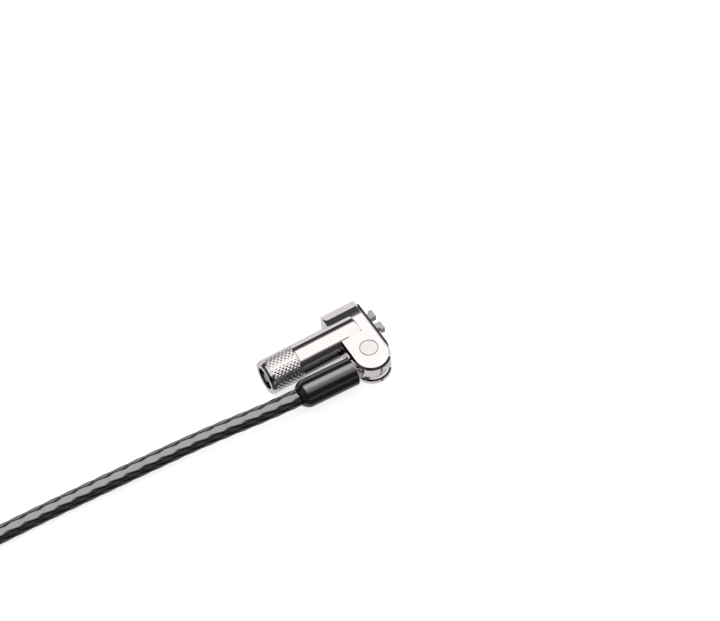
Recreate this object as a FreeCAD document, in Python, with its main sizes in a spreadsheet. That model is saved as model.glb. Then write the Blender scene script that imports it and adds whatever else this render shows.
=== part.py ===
import FreeCAD, Part

# Laptop cable lock: a keyed barrel in a cast head, two cleats that grip a
# laptop's security slot, and a coated steel cable with an eye at its far end.
# The barrel lies along X with its key face toward -X, and the cleats point
# toward +X. Z is up, and the lock lies on z = 0. Lengths are millimetres.

import math
import os

Vector = FreeCAD.Vector
X_AXIS = Vector(1, 0, 0)
Y_AXIS = Vector(0, 1, 0)
Z_AXIS = Vector(0, 0, 1)

doc = FreeCAD.newDocument("laptop_cable_lock")

# Driving dimensions

DIMENSIONS = {
    # barrel, measured back from its key face
    "barrel_radius": 5.05,
    "barrel_length": 29.5,
    "bezel_width": 0.35,
    "bezel_length": 0.75,
    "ring_length": 1.2,
    "ring_spigot": 1.4,
    "neck_wall": 0.55,
    "grip_length": 8.8,
    "grip_wall": 0.65,
    "keyway_wall": 0.6,
    "keyway_depth": 5.5,
    "index_notch_width": 1.2,
    "index_notch_depth": 0.55,
    "chamber_wall": 1.3,
    "rear_wall": 0.9,
    "barrel_end_radius": 0.6,
    "seat_gap": 0.02,
    "running_gap": 0.05,
    "shoulder_flat_length": 4.1,
    "shoulder_flat_depth": 0.1,
    "shoulder_flat_slope_angle": 1.8,
    "shoulder_flat_turn_angle": 34.0,
    # key plug and pins
    "post_radius": 1.2,
    "post_recess": 0.35,
    "post_slot": 0.6,
    "plug_length": 5.45,
    "pin_count": 7,
    "pin_circle_radius": 2.45,
    "pin_radius": 0.45,
    "rear_chamber_depth": 9.58,
    "pin_bore_floor": 1.9,
    "driver_length": 3.0,
    "spring_wall": 0.14,
    "cross_pin_radius": 0.5,
    "cross_pin_length": 2.4,
    "cross_pin_inset": 1.0,
    # spindle, scroll and cleats
    "spindle_radius": 1.2,
    "spindle_flat": 0.85,
    "spindle_grip": 3.0,
    "clip_thickness": 0.4,
    "clip_radius": 2.0,
    "clip_seat_radius": 0.9,
    "scroll_thickness": 1.2,
    "scroll_hub_radius": 1.9,
    "scroll_hub_length": 1.6,
    "cleat_travel": 0.8,
    "cleat_pin_radius": 0.5,
    "cleat_pin_offset": 3.0,
    "cleat_block_length": 2.7,
    "cleat_block_inner": 1.0,
    "cleat_block_margin": 0.45,
    "cleat_inner": 1.1,
    "cleat_outer": 2.9,
    "cleat_thickness": 2.0,
    "cleat_barb": 0.8,
    "cleat_barb_length": 1.2,
    "slot_wall": 1.6,
    "slot_half_width": 3.05,
    "guide_thickness": 2.3,
    # cast head
    "head_radius": 5.35,
    "head_above": 4.0,
    "head_below": 3.5,
    "head_wall": 3.6,
    "head_edge": 0.6,
    "clevis_edge": 0.45,
    "arm_back": 7.8,
    "arm_flat_end": 5.1,
    "arm_back_drop": 1.05,
    "pocket_gap": 0.1,
    "badge_radius": 2.65,
    "badge_groove": 0.25,
    "badge_depth": 0.15,
    "badge_offset_along": 0.45,
    "badge_offset_back": 2.1,
    "retainer_radius": 0.7,
    "retainer_length": 5.2,
    "retainer_inset": 4.0,
    "retainer_offset": 5.2,
    "pad_thickness": 0.6,
    "pad_margin": 0.7,
    "pad_opening": 3.9,
    "pad_opening_height": 2.9,
    "pad_corner": 1.2,
    # swivel eye and its pin
    "pivot_drop": 11.2,
    "eye_radius": 4.6,
    "eye_thickness": 2.6,
    "eye_gap": 0.08,
    "eye_clearance": 0.3,
    "pivot_radius": 1.7,
    "pivot_head_radius": 2.5,
    "pivot_head_height": 0.55,
    "pivot_top_skin": 1.0,
    "neck_width": 5.0,
    "sleeve_gap": 0.4,
    "crimp_radius": 3.0,
    "crimp_length": 11.5,
    "crimp_blind": 1.8,
    "core_radius": 1.8,
    "rest_swing_angle": 2.0,
    # cable and sleeve
    "cable_radius": 2.5,
    "sleeve_radius": 4.05,
    "sleeve_end_radius": 2.9,
    "sleeve_taper": 1.5,
    "sleeve_length": 17.0,
    "sleeve_shoulder_radius": 2.6,
    "sleeve_edge_radius": 0.6,
    # hank, tie, ferrule and far eye
    "hank_run": 76.0,
    "hank_offset": 21.9,
    "hank_step": 2.8,
    "hank_layer": 5.5,
    "waist_draw": 3.0,
    "tie_width": 14.0,
    "tie_thickness": 1.2,
    "tie_gap": 0.4,
    "ferrule_start": 4.0,
    "ferrule_length": 14.0,
    "ferrule_radius": 3.4,
    "ferrule_pitch": 5.5,
    "ferrule_gap": 0.02,
    "eye_stem": 30.0,
    "eye_bend_radius": 30.0,
    "eye_bend_angle": 32.0,
    "eye_loop_radius": 14.5,
}

sheet = doc.addObject("Spreadsheet::Sheet", "Sizes")
for row, (alias, number) in enumerate(DIMENSIONS.items(), start=1):
    sheet.set(f"A{row}", alias)
    sheet.set(f"B{row}", str(number))
    sheet.setAlias(f"B{row}", alias)
doc.recompute()


class Size:
    """A size with its value and the sheet formula behind it."""

    def __init__(self, text, value):
        self.text = text
        self.value = value

    def __float__(self):
        return float(self.value)

    def __add__(self, other):
        other = sized(other)
        return Size(f"({self.text} + {other.text})", self.value + other.value)

    def __sub__(self, other):
        other = sized(other)
        return Size(f"({self.text} - {other.text})", self.value - other.value)

    def __mul__(self, other):
        other = sized(other)
        return Size(f"({self.text} * {other.text})", self.value * other.value)

    def __neg__(self):
        return Size(f"(0 - {self.text})", -self.value)

    def __radd__(self, other):
        return sized(other) + self

    def __rsub__(self, other):
        return sized(other) - self

    def __rmul__(self, other):
        return sized(other) * self


def sized(number):
    """Give a plain number the same form as a size from the sheet."""
    return number if isinstance(number, Size) else Size(str(number), number)


class Sheet:
    """Reads each size of the sheet by its name."""

    def __getattr__(self, alias):
        return Size("Sizes." + alias, float(getattr(sheet, alias)))


S = Sheet()

# Where things stand, worked out from the driving dimensions.
# The lock's own frame starts on the barrel's axis at the key face.

GRIP_SEAT = S.barrel_radius - S.grip_wall
SPIGOT = GRIP_SEAT - S.neck_wall
KEYWAY = SPIGOT - S.keyway_wall
CHAMBER = S.barrel_radius - S.chamber_wall
REAR_BORE = S.barrel_radius - S.rear_wall
HEAD_FACE = S.barrel_length + S.head_wall
PAD_FACE = HEAD_FACE + S.pad_thickness
CLEAT_TIP = PAD_FACE + S.slot_wall + S.cleat_barb_length
PIVOT_X = HEAD_FACE - S.head_radius
HEAD_BACK = S.pivot_drop + S.arm_back
PLUG_FRONT = S.keyway_depth + S.seat_gap
PLUG_REAR = PLUG_FRONT + S.plug_length
STATOR_FRONT = PLUG_REAR + S.running_gap
STATOR_REAR = S.barrel_length - S.rear_chamber_depth
STATOR_LENGTH = STATOR_REAR - STATOR_FRONT
PIN_BORE_DEPTH = STATOR_LENGTH - S.pin_bore_floor
GUIDE_REAR = S.barrel_length - S.running_gap
GUIDE_FRONT = GUIDE_REAR - S.guide_thickness
BLOCK_FRONT = GUIDE_FRONT - S.running_gap - S.cleat_block_length
SCROLL_REAR = BLOCK_FRONT - S.running_gap
SCROLL_FRONT = SCROLL_REAR - S.scroll_thickness
CLIP_FRONT = STATOR_REAR + S.running_gap
SLEEVE_START = S.head_radius + S.sleeve_gap
SLEEVE_END = SLEEVE_START + S.sleeve_length

SHIFT = (
    -0.5 * CLEAT_TIP,
    0.5 * (S.pivot_drop + S.head_radius - S.arm_back),
    S.barrel_radius,
)
PIVOT = (SHIFT[0] + PIVOT_X, SHIFT[1] - S.pivot_drop, SHIFT[2])

nodes = []
places = {}


# Building blocks


def bind(thing, prop, size):
    """Tie a property to the sheet."""
    thing.setExpression(prop, sized(size).text)


def put(thing, at):
    """Stand an object at a place, and keep the place tied to the sheet."""
    places[thing.Name] = at
    for letter, size in zip("xyz", at):
        bind(thing, "Placement.Base." + letter, size)
    return thing


def node(thing, name, shift=SHIFT, turn=None):
    """Name a finished sub-part and move it from its own frame to the model's."""
    at = places.get(thing.Name, (0, 0, 0))
    thing.Label = name
    if turn is not None:
        thing.Placement.Rotation = FreeCAD.Rotation(Z_AXIS, 1)
        bind(thing, "Placement.Rotation.Angle", turn)
    put(thing, tuple(sized(a) + b for a, b in zip(at, shift)))
    nodes.append(thing)
    return thing


def cylinder(name, radius, height, at=(0, 0, 0), along=X_AXIS):
    rod = doc.addObject("Part::Cylinder", name)
    bind(rod, "Radius", radius)
    bind(rod, "Height", height)
    rod.Placement.Rotation = FreeCAD.Rotation(Z_AXIS, along)
    return put(rod, at)


def box(name, sides, at):
    block = doc.addObject("Part::Box", name)
    for prop, side in zip(("Length", "Width", "Height"), sides):
        bind(block, prop, side)
    return put(block, at)


def fused(name, pieces):
    joined = doc.addObject("Part::MultiFuse", name)
    joined.Shapes = pieces
    joined.Refine = True
    return joined


def cut(name, base, tools):
    tool = tools[0] if len(tools) == 1 else fused(name + "_tools", tools)
    rest = doc.addObject("Part::Cut", name)
    rest.Base = base
    rest.Tool = tool
    rest.Refine = True
    return rest


def grouped(name, pieces):
    group = doc.addObject("Part::Compound", name)
    group.Links = pieces
    return group


def origin_plane(body, role):
    for plane in body.Origin.OriginFeatures:
        if plane.Role == role:
            return plane
    raise ValueError(role)


def sketch_on(body, role, name):
    sketch = body.newObject("Sketcher::SketchObject", name)
    sketch.AttachmentSupport = [(origin_plane(body, role), "")]
    sketch.MapMode = "FlatFace"
    return sketch


def constrain(sketch, kind, geometry, size):
    """Add a measured constraint and tie it to the sheet."""
    import Sketcher

    index = sketch.addConstraint(Sketcher.Constraint(kind, *geometry, float(size)))
    sketch.setExpression(f"Constraints[{index}]", sized(size).text)


def draw_polygon(sketch, corners):
    """A closed outline whose corners each stand at two sizes from the origin."""
    import Sketcher

    points = [Vector(float(a), float(b), 0) for a, b in corners]
    for start, end in zip(points, points[1:] + points[:1]):
        sketch.addGeometry(Part.LineSegment(start, end))
    count = len(points)
    for i in range(count):
        link = Sketcher.Constraint("Coincident", i, 2, (i + 1) % count, 1)
        sketch.addConstraint(link)
    for i, corner in enumerate(corners):
        for kind, axis, size in (("DistanceX", -2, corner[0]), ("DistanceY", -1, corner[1])):
            if isinstance(size, Size):
                constrain(sketch, kind, (-1, 1, i, 1), size)
            else:
                sketch.addConstraint(Sketcher.Constraint("PointOnObject", i, 1, axis))


def turned(name, corners):
    """A body turned about X from an outline of (distance along X, radius)."""
    body = doc.addObject("PartDesign::Body", name)
    sketch = sketch_on(body, "XZ_Plane", name + "_outline")
    draw_polygon(sketch, corners)
    turn = body.newObject("PartDesign::Revolution", name + "_turning")
    turn.Profile = sketch
    turn.ReferenceAxis = (sketch, ["H_Axis"])
    turn.Angle = 360
    sketch.Visibility = False
    return body


def round_edge(body, base, name, radius, along, size):
    """Round the circular edge of a turned body at one place along its axis."""
    edges = []
    for number, edge in enumerate(base.Shape.Edges, start=1):
        bounds = edge.BoundBox
        circle = bounds.XLength < 1e-6 and abs(bounds.XMin - float(along)) < 1e-3
        if circle and abs(bounds.ZMax - float(radius)) < 1e-3:
            edges.append(f"Edge{number}")
    rounding = body.newObject("PartDesign::Fillet", name)
    rounding.Base = (base, edges)
    bind(rounding, "Radius", size)
    doc.recompute()
    return rounding


def feature(name, shape):
    made = doc.addObject("Part::Feature", name)
    made.Shape = shape
    return made


def on_circle(i):
    """The angle of one of the lock's pins round the key post."""
    return 360.0 * i / int(float(S.pin_count))


def ring_of(name, radius, height_of, start_of):
    """Rods round the pin circle, one for each of the lock's pins."""
    rods = []
    for i in range(int(float(S.pin_count))):
        angle = math.radians(on_circle(i))
        at = (
            start_of(i),
            S.pin_circle_radius * round(math.cos(angle), 9),
            S.pin_circle_radius * round(math.sin(angle), 9),
        )
        rods.append(cylinder(f"{name}_{i}", radius, height_of(i), at))
    return rods


# Barrel: face ring, grip and shell


def index_notch(name):
    """The notch beside the keyway that the key's tab drops into."""
    reach = KEYWAY + S.index_notch_depth
    at = (0, -reach, -0.5 * S.index_notch_width)
    return box(name, (S.keyway_depth, reach, S.index_notch_width), at)


face_ring = turned(
    "face_ring_body",
    [
        (0, KEYWAY),
        (0, S.barrel_radius - S.bezel_width),
        (S.bezel_length, S.barrel_radius),
        (S.ring_length, S.barrel_radius),
        (S.ring_length, SPIGOT),
        (S.ring_length + S.ring_spigot, SPIGOT),
        (S.ring_length + S.ring_spigot, KEYWAY),
    ],
)
node(cut("face_ring_cut", face_ring, [index_notch("face_ring_notch")]), "face_ring")

node(
    turned(
        "knurled_grip_body",
        [
            (S.ring_length + S.seat_gap, GRIP_SEAT + S.seat_gap),
            (S.ring_length + S.seat_gap, S.barrel_radius),
            (S.ring_length + S.grip_length, S.barrel_radius),
            (S.ring_length + S.grip_length, GRIP_SEAT + S.seat_gap),
        ],
    ),
    "knurled_grip",
)

shell_body = turned(
    "lock_shell_body",
    [
        (S.ring_length + S.seat_gap, SPIGOT + S.seat_gap),
        (S.ring_length + S.seat_gap, GRIP_SEAT),
        (S.ring_length + S.grip_length + S.seat_gap, GRIP_SEAT),
        (S.ring_length + S.grip_length + S.seat_gap, S.barrel_radius),
        (S.barrel_length, S.barrel_radius),
        (S.barrel_length, REAR_BORE),
        (STATOR_REAR, REAR_BORE),
        (STATOR_REAR, CHAMBER),
        (S.keyway_depth, CHAMBER),
        (S.keyway_depth, KEYWAY),
        (S.ring_length + S.ring_spigot + S.seat_gap, KEYWAY),
        (S.ring_length + S.ring_spigot + S.seat_gap, SPIGOT + S.seat_gap),
    ],
)

doc.recompute()
round_edge(
    shell_body,
    doc.getObject("lock_shell_body_turning"),
    "lock_shell_end",
    S.barrel_radius,
    S.barrel_length,
    S.barrel_end_radius,
)


def shoulder_flat():
    """A shallow flat milled on the barrel's rear end, deeper toward the head."""
    length = float(S.shoulder_flat_length)
    height = float(S.barrel_radius - S.shoulder_flat_depth)
    block = Part.makeBox(2 * length, length, length, Vector(0, -0.5 * length, 0))
    block.rotate(Vector(0, 0, 0), Y_AXIS, float(S.shoulder_flat_slope_angle))
    block.translate(Vector(float(S.barrel_length) - length, 0, height))
    block.rotate(Vector(0, 0, 0), X_AXIS, float(S.shoulder_flat_turn_angle))
    return feature("shoulder_flat", block)


CROSS_PIN_X = STATOR_REAR - S.cross_pin_inset
RETAINER_X = S.barrel_length - S.retainer_inset


def cross_pin_bore(name):
    at = (CROSS_PIN_X, 0, -S.barrel_radius)
    radius = S.cross_pin_radius + 0.5 * S.seat_gap
    return cylinder(name, radius, S.cross_pin_length, at, Z_AXIS)


def retainer_bore(name):
    at = (RETAINER_X, S.retainer_offset, -S.head_below)
    return cylinder(name, S.retainer_radius + S.seat_gap, S.retainer_length, at, Z_AXIS)


node(
    cut(
        "lock_shell_cut",
        shell_body,
        [
            index_notch("lock_shell_notch"),
            shoulder_flat(),
            cross_pin_bore("lock_shell_cross_bore"),
            retainer_bore("lock_shell_retainer_groove"),
        ],
    ),
    "lock_shell",
)

# Key plug, its pins and the stator behind it

plug_body = turned(
    "key_plug_body",
    [
        (S.post_recess, 0),
        (S.post_recess, S.post_radius),
        (PLUG_FRONT, S.post_radius),
        (PLUG_FRONT, CHAMBER - S.running_gap),
        (PLUG_REAR, CHAMBER - S.running_gap),
        (PLUG_REAR, S.spindle_radius + S.seat_gap),
        (PLUG_REAR - S.spindle_grip, S.spindle_radius + S.seat_gap),
        (PLUG_REAR - S.spindle_grip, 0),
    ],
)
post_slot = box(
    "post_slot",
    (1.4 * S.post_slot, 2 * S.post_radius, S.post_slot),
    (S.post_recess, -S.post_radius, -0.5 * S.post_slot),
)
PIN_BORE = S.pin_radius + S.running_gap
plug_bores = ring_of(
    "plug_bore", PIN_BORE, lambda i: S.plug_length, lambda i: PLUG_FRONT
)
node(cut("key_plug_cut", plug_body, [post_slot] + plug_bores), "key_plug")

# Each key pin's length, as a share of the plug's: the lock's own code.
KEY_CODE = (0.62, 0.84, 0.71, 0.92, 0.66, 0.79, 0.88)


def key_pin_length(i):
    return KEY_CODE[i % len(KEY_CODE)] * S.plug_length


key_pins = ring_of(
    "key_pin", S.pin_radius, key_pin_length, lambda i: PLUG_REAR - key_pin_length(i)
)
node(grouped("key_pin_group", key_pins), "key_pins")

stator_blank = cylinder(
    "stator_blank",
    CHAMBER - S.seat_gap,
    STATOR_LENGTH,
    (STATOR_FRONT, 0, 0),
)
stator_core = cylinder(
    "stator_core", S.spindle_radius + S.running_gap, STATOR_LENGTH, (STATOR_FRONT, 0, 0)
)
stator_bores = ring_of(
    "stator_bore", PIN_BORE, lambda i: PIN_BORE_DEPTH, lambda i: STATOR_FRONT
)
stator_tools = [stator_core, cross_pin_bore("stator_cross_bore")] + stator_bores
node(cut("stator_cut", stator_blank, stator_tools), "stator")

drivers = ring_of(
    "driver_pin", S.pin_radius, lambda i: S.driver_length, lambda i: STATOR_FRONT
)
node(grouped("driver_pin_group", drivers), "driver_pins")

SPRING_FRONT = STATOR_FRONT + S.driver_length
SPRING_LENGTH = PIN_BORE_DEPTH - S.driver_length
spring_outsides = ring_of(
    "spring_outside", S.pin_radius, lambda i: SPRING_LENGTH, lambda i: SPRING_FRONT
)
spring_insides = ring_of(
    "spring_inside",
    S.pin_radius - S.spring_wall,
    lambda i: SPRING_LENGTH,
    lambda i: SPRING_FRONT,
)
springs = [
    cut(f"spring_{i}", outside, [inside])
    for i, (outside, inside) in enumerate(zip(spring_outsides, spring_insides))
]
node(grouped("spring_group", springs), "pin_springs")

stator_pin = cylinder(
    "stator_pin_rod",
    S.cross_pin_radius,
    S.cross_pin_length - S.seat_gap,
    (CROSS_PIN_X, 0, -S.barrel_radius),
    Z_AXIS,
)
node(stator_pin, "stator_pin")

# Spindle, clip and scroll

SPINDLE_FRONT = PLUG_REAR - S.spindle_grip + S.seat_gap
SPINDLE_REAR = SCROLL_REAR

spindle_rod = cylinder(
    "spindle_rod",
    S.spindle_radius,
    SPINDLE_REAR - SPINDLE_FRONT,
    (SPINDLE_FRONT, 0, 0),
)


def spindle_flat_tool(name, gap):
    """The part of the drive that the spindle's flat leaves out."""
    at = (SPINDLE_REAR - S.scroll_hub_length - S.scroll_thickness, -2 * S.spindle_radius)
    height = S.spindle_flat + gap
    sides = (2 * S.scroll_hub_length, 4 * S.spindle_radius, 2 * S.spindle_radius)
    return box(name, sides, at + (height,))


def clip_groove():
    outside = cylinder(
        "clip_groove_outside",
        2 * S.spindle_radius,
        S.clip_thickness,
        (CLIP_FRONT, 0, 0),
    )
    inside = cylinder(
        "clip_groove_inside", S.clip_seat_radius, S.clip_thickness, (CLIP_FRONT, 0, 0)
    )
    return cut("clip_groove", outside, [inside])


node(
    cut(
        "spindle_cut",
        spindle_rod,
        [clip_groove(), spindle_flat_tool("spindle_flat_tool", 0)],
    ),
    "spindle",
)

clip_blank = cylinder("clip_blank", S.clip_radius, S.clip_thickness, (CLIP_FRONT, 0, 0))
clip_bore = cylinder(
    "clip_bore", S.clip_seat_radius + S.seat_gap, S.clip_thickness, (CLIP_FRONT, 0, 0)
)
clip_mouth = box(
    "clip_mouth",
    (S.clip_thickness, 1.7 * S.clip_seat_radius, S.clip_radius),
    (CLIP_FRONT, -0.85 * S.clip_seat_radius, 0),
)
node(cut("clip_cut", clip_blank, [clip_bore, clip_mouth]), "spindle_clip")

scroll_blank = fused(
    "scroll_blank",
    [
        cylinder(
            "scroll_disc", REAR_BORE - S.running_gap, S.scroll_thickness, (SCROLL_FRONT, 0, 0)
        ),
        cylinder(
            "scroll_hub",
            S.scroll_hub_radius,
            S.scroll_hub_length,
            (SCROLL_FRONT - S.scroll_hub_length, 0, 0),
        ),
    ],
)
SCROLL_BORE_LENGTH = S.scroll_hub_length + S.scroll_thickness
scroll_round_bore = cylinder(
    "scroll_round_bore",
    S.spindle_radius + S.seat_gap,
    SCROLL_BORE_LENGTH,
    (SCROLL_REAR - SCROLL_BORE_LENGTH, 0, 0),
)
scroll_bore = cut(
    "scroll_bore", scroll_round_bore, [spindle_flat_tool("scroll_flat_tool", S.seat_gap)]
)

QUARTER_TURN = 90.0


def scroll_point(turn, side):
    """A point on one edge of the scroll's slot: its radius falls steadily as the key turns."""
    radius = float(S.cleat_pin_offset) - float(S.cleat_travel) * turn / QUARTER_TURN
    angle = math.radians(-turn)
    return Vector(0, (radius + side) * math.cos(angle), (radius + side) * math.sin(angle))


def scroll_slot(name, start):
    """A slot a quarter turn long that draws one cleat's pin inward."""
    half = float(S.cleat_pin_radius + S.running_gap)
    middle = QUARTER_TURN / 2
    outer = [scroll_point(turn, half) for turn in (0, middle, QUARTER_TURN)]
    inner = [scroll_point(turn, -half) for turn in (QUARTER_TURN, middle, 0)]
    far_centre = scroll_point(QUARTER_TURN, 0)
    near_centre = scroll_point(0, 0)
    far_tip = far_centre + Vector(0, 0, -half)
    near_tip = near_centre + Vector(0, 0, half)
    for centre, tip, turn in ((far_centre, far_tip, QUARTER_TURN), (near_centre, near_tip, 0)):
        sign = -1 if turn else 1
        angle = math.radians(-turn)
        along = Vector(0, -math.sin(angle), math.cos(angle)) * (half * sign)
        tip.x, tip.y, tip.z = centre.x + along.x, centre.y + along.y, centre.z + along.z
    edges = [
        Part.Arc(*outer).toShape(),
        Part.Arc(outer[-1], far_tip, inner[0]).toShape(),
        Part.Arc(*inner).toShape(),
        Part.Arc(inner[-1], near_tip, outer[0]).toShape(),
    ]
    slot = Part.Face(Part.Wire(edges)).extrude(X_AXIS * float(S.scroll_thickness))
    slot.rotate(Vector(0, 0, 0), X_AXIS, start)
    slot.translate(X_AXIS * float(SCROLL_FRONT))
    return feature(name, slot)


scroll_tools = [scroll_bore, scroll_slot("scroll_slot_a", 0), scroll_slot("scroll_slot_b", 180)]
node(cut("scroll_cut", scroll_blank, scroll_tools), "scroll")

# Cleats and the plate that guides them

HALF_CLEAT = 0.5 * S.cleat_thickness


def cleat(name, side):
    """A sliding cleat: pin in the scroll, block behind the guide, leg and barb outside."""

    def across(name, near, far, front, rear):
        low = near if side > 0 else -far
        at = (front, low, -HALF_CLEAT)
        return box(name, (rear - front, far - near, S.cleat_thickness), at)

    pin = cylinder(
        name + "_pin",
        S.cleat_pin_radius,
        BLOCK_FRONT - SCROLL_FRONT - S.running_gap,
        (SCROLL_FRONT + S.running_gap, side * S.cleat_pin_offset, 0),
    )
    block = across(
        name + "_block",
        S.cleat_block_inner,
        REAR_BORE - S.cleat_block_margin,
        BLOCK_FRONT,
        GUIDE_FRONT - S.running_gap,
    )
    leg = across(
        name + "_leg", S.cleat_inner, S.cleat_outer, GUIDE_FRONT - S.running_gap, CLEAT_TIP
    )
    barb = across(
        name + "_barb",
        S.cleat_inner,
        S.cleat_outer + S.cleat_barb,
        CLEAT_TIP - S.cleat_barb_length,
        CLEAT_TIP,
    )
    return fused(name, [pin, block, leg, barb])


def cleat_slot(name, front, length):
    sides = (length, 2 * S.slot_half_width, S.cleat_thickness + 2 * S.running_gap)
    return box(name, sides, (front, -S.slot_half_width, -HALF_CLEAT - S.running_gap))


node(cleat("cleat_back_solid", 1), "cleat_back")
node(cleat("cleat_front_solid", -1), "cleat_front")

guide_blank = cylinder(
    "guide_blank",
    REAR_BORE - S.running_gap,
    S.guide_thickness,
    (GUIDE_FRONT, 0, 0),
)
guide_slot = cleat_slot("guide_slot", GUIDE_FRONT, S.guide_thickness)
node(cut("guide_cut", guide_blank, [guide_slot]), "cleat_guide")

# Cast head

head_block = doc.addObject("PartDesign::Body", "head_block")


def draw_head_outline(sketch):
    """A straight-sided outline with one round end, centred on the swivel."""
    import Sketcher

    radius = float(S.head_radius)
    back = float(HEAD_BACK)
    corners = [
        Vector(radius, 0, 0),
        Vector(radius, back, 0),
        Vector(-radius, back, 0),
        Vector(-radius, 0, 0),
    ]
    for start, end in zip(corners, corners[1:]):
        sketch.addGeometry(Part.LineSegment(start, end))
    circle = Part.Circle(Vector(0, 0, 0), Z_AXIS, radius)
    sketch.addGeometry(Part.ArcOfCircle(circle, math.pi, 2 * math.pi))
    for first, second in ((0, 1), (1, 2)):
        sketch.addConstraint(Sketcher.Constraint("Coincident", first, 2, second, 1))
    sketch.addConstraint(Sketcher.Constraint("Coincident", 2, 2, 3, 1))
    sketch.addConstraint(Sketcher.Constraint("Coincident", 3, 2, 0, 1))
    sketch.addConstraint(Sketcher.Constraint("Coincident", 3, 3, -1, 1))
    sketch.addConstraint(Sketcher.Constraint("Horizontal", 1))
    sketch.addConstraint(Sketcher.Constraint("Vertical", 0))
    sketch.addConstraint(Sketcher.Constraint("Vertical", 2))
    sketch.addConstraint(Sketcher.Constraint("PointOnObject", 0, 1, -1))
    constrain(sketch, "Radius", (3,), S.head_radius)
    constrain(sketch, "DistanceY", (-1, 1, 0, 2), HEAD_BACK)


head_sketch = sketch_on(head_block, "XY_Plane", "head_outline")
draw_head_outline(head_sketch)
head_pad = head_block.newObject("PartDesign::Pad", "head_pad")
head_pad.Profile = head_sketch
bind(head_pad, "Length", S.head_above + S.head_below)
head_sketch.Visibility = False
doc.recompute()


def flat_faces_of(shape):
    """The names of a block's lowest and highest faces, which lie flat."""
    names = []
    for height in (shape.BoundBox.ZMin, shape.BoundBox.ZMax):
        for number, face in enumerate(shape.Faces, start=1):
            box_of_face = face.BoundBox
            if box_of_face.ZLength < 1e-6 and abs(box_of_face.ZMin - height) < 1e-6:
                names.append(f"Face{number}")
    return names


head_edges = head_block.newObject("PartDesign::Chamfer", "head_edges")
head_edges.Base = (head_pad, flat_faces_of(head_pad.Shape))
bind(head_edges, "Size", S.head_edge)
put(head_block, (PIVOT_X, -S.pivot_drop, -S.head_below))


def arm_bevel():
    """The wedge that leaves the head's back edge sloping down."""
    top = float(S.head_above)
    start = float(S.arm_flat_end)
    back = float(S.arm_back)
    slope = float(S.arm_back_drop) / (back - start)
    reach = 2 * back
    outline = [
        Vector(0, start, top),
        Vector(0, reach, top - slope * (reach - start)),
        Vector(0, reach, reach),
        Vector(0, start, reach),
    ]
    wedge = Part.Face(Part.makePolygon(outline + outline[:1]))
    wedge = wedge.extrude(X_AXIS * (4 * float(S.head_radius)))
    wedge.translate(X_AXIS * (float(HEAD_FACE) - 3 * float(S.head_radius)))
    return feature("arm_bevel", wedge)


EYE_SLOT = S.eye_thickness + 2 * S.eye_gap
EYE_ROOM = S.eye_radius + S.eye_clearance

barrel_pocket = cylinder(
    "barrel_pocket",
    S.barrel_radius + S.pocket_gap,
    2 * S.head_radius,
    (S.barrel_length - 2 * S.head_radius, 0, 0),
)
eye_slot = box(
    "eye_slot",
    (3 * S.head_radius, 2 * S.head_radius + EYE_ROOM, EYE_SLOT),
    (PIVOT_X - 1.5 * S.head_radius, -S.pivot_drop - 2 * S.head_radius, -0.5 * EYE_SLOT),
)
PIVOT_TOP = S.head_above - S.pivot_top_skin
pivot_bore = cylinder(
    "pivot_bore",
    S.pivot_radius + S.seat_gap,
    S.head_below + PIVOT_TOP,
    (PIVOT_X, -S.pivot_drop, -S.head_below),
    Z_AXIS,
)
pivot_counterbore = cylinder(
    "pivot_counterbore",
    S.pivot_head_radius + S.seat_gap,
    S.pivot_head_height,
    (PIVOT_X, -S.pivot_drop, -S.head_below),
    Z_AXIS,
)
head_slot = cleat_slot("head_slot", S.barrel_length, 2 * S.head_wall)
BADGE = (
    PIVOT_X + S.badge_offset_along,
    S.badge_offset_back - S.pivot_drop,
    S.head_above - S.badge_depth,
)
badge_outside = cylinder("badge_outside", S.badge_radius, S.head_above, BADGE, Z_AXIS)
badge_inside = cylinder(
    "badge_inside", S.badge_radius - S.badge_groove, S.head_above, BADGE, Z_AXIS
)
badge_ring = cut("badge_ring", badge_outside, [badge_inside])

head_rough = cut("head_rough", head_block, [barrel_pocket, eye_slot])
doc.recompute()


def eased_edges(shape):
    """The upper outer edge of the clevis's lower plate."""
    outer = float(S.head_radius)
    low = -0.5 * float(EYE_SLOT)
    chosen = []
    for number, edge in enumerate(shape.Edges, start=1):
        bounds = edge.BoundBox
        x = bounds.Center.x - float(PIVOT_X)
        on_side = bounds.XLength < 1e-4 and abs(abs(x) - outer) < 1e-4
        round_end = bounds.XLength > 1.9 * outer and bounds.YLength > 0.9 * outer
        if bounds.ZLength < 1e-4 and abs(bounds.ZMin - low) < 1e-4 and (on_side or round_end):
            chosen.append((number, float(S.clevis_edge), float(S.clevis_edge)))
    return chosen


head_eased = doc.addObject("Part::Chamfer", "head_eased")
head_eased.Base = head_rough
head_eased.Edges = eased_edges(head_rough.Shape)
node(
    cut(
        "head_cut",
        head_eased,
        [
            pivot_bore,
            pivot_counterbore,
            head_slot,
            badge_ring,
            arm_bevel(),
            retainer_bore("head_retainer_bore"),
        ],
    ),
    "head_casting",
)

retainer = cylinder(
    "retainer_rod",
    S.retainer_radius,
    S.retainer_length - S.seat_gap,
    (RETAINER_X, S.retainer_offset, -S.head_below),
    Z_AXIS,
)
node(retainer, "barrel_dowel")

# Rubber pad between the head and the laptop

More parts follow.
